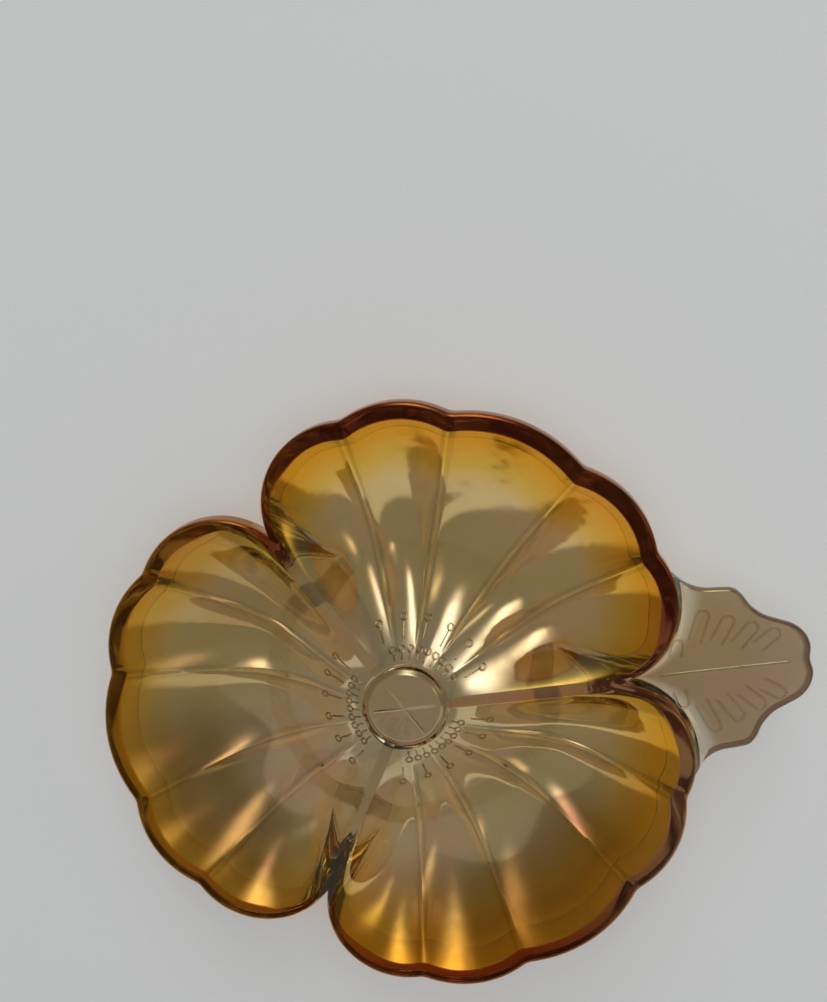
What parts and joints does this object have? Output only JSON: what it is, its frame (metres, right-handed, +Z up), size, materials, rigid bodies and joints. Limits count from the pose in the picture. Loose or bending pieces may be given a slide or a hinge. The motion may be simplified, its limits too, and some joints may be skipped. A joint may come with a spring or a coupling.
{
  "type": "flower dish",
  "caption": "Divided flower-shaped dish in iridised pressed glass, with scalloped petal hollows, a raised centre boss, a foot ring and a leaf-shaped handle.",
  "frame": {"origin": "on the table, in the middle of the dish's outline box seen from above", "axes": "+X towards the tip of the leaf handle, +Z up out of the dish"},
  "size_m": [0.1744, 0.1498, 0.0255],
  "materials": {
    "glass_petal": "gloss, golden iridised film on clear pressed glass",
    "glass_band": "gloss, deep red-brown iridised film",
    "glass_pale": "gloss, smoky and nearly colourless with a thin pearly film"
  },
  "bodies": {
    "root": {"flower_centre": "glass_pale", "petal_left": "glass_petal", "petal_far": "glass_petal", "petal_right": "glass_petal", "rim_left": "glass_band", "rim_far": "glass_band", "rim_right": "glass_band", "divider_leaf": "glass_band", "divider_left": "glass_band", "divider_right": "glass_band", "stamens": "glass_pale", "foot_ring": "glass_petal", "leaf_handle": "glass_pale", "leaf_midrib": "glass_pale", "leaf_veins": "glass_pale"}
  },
  "joints": []
}
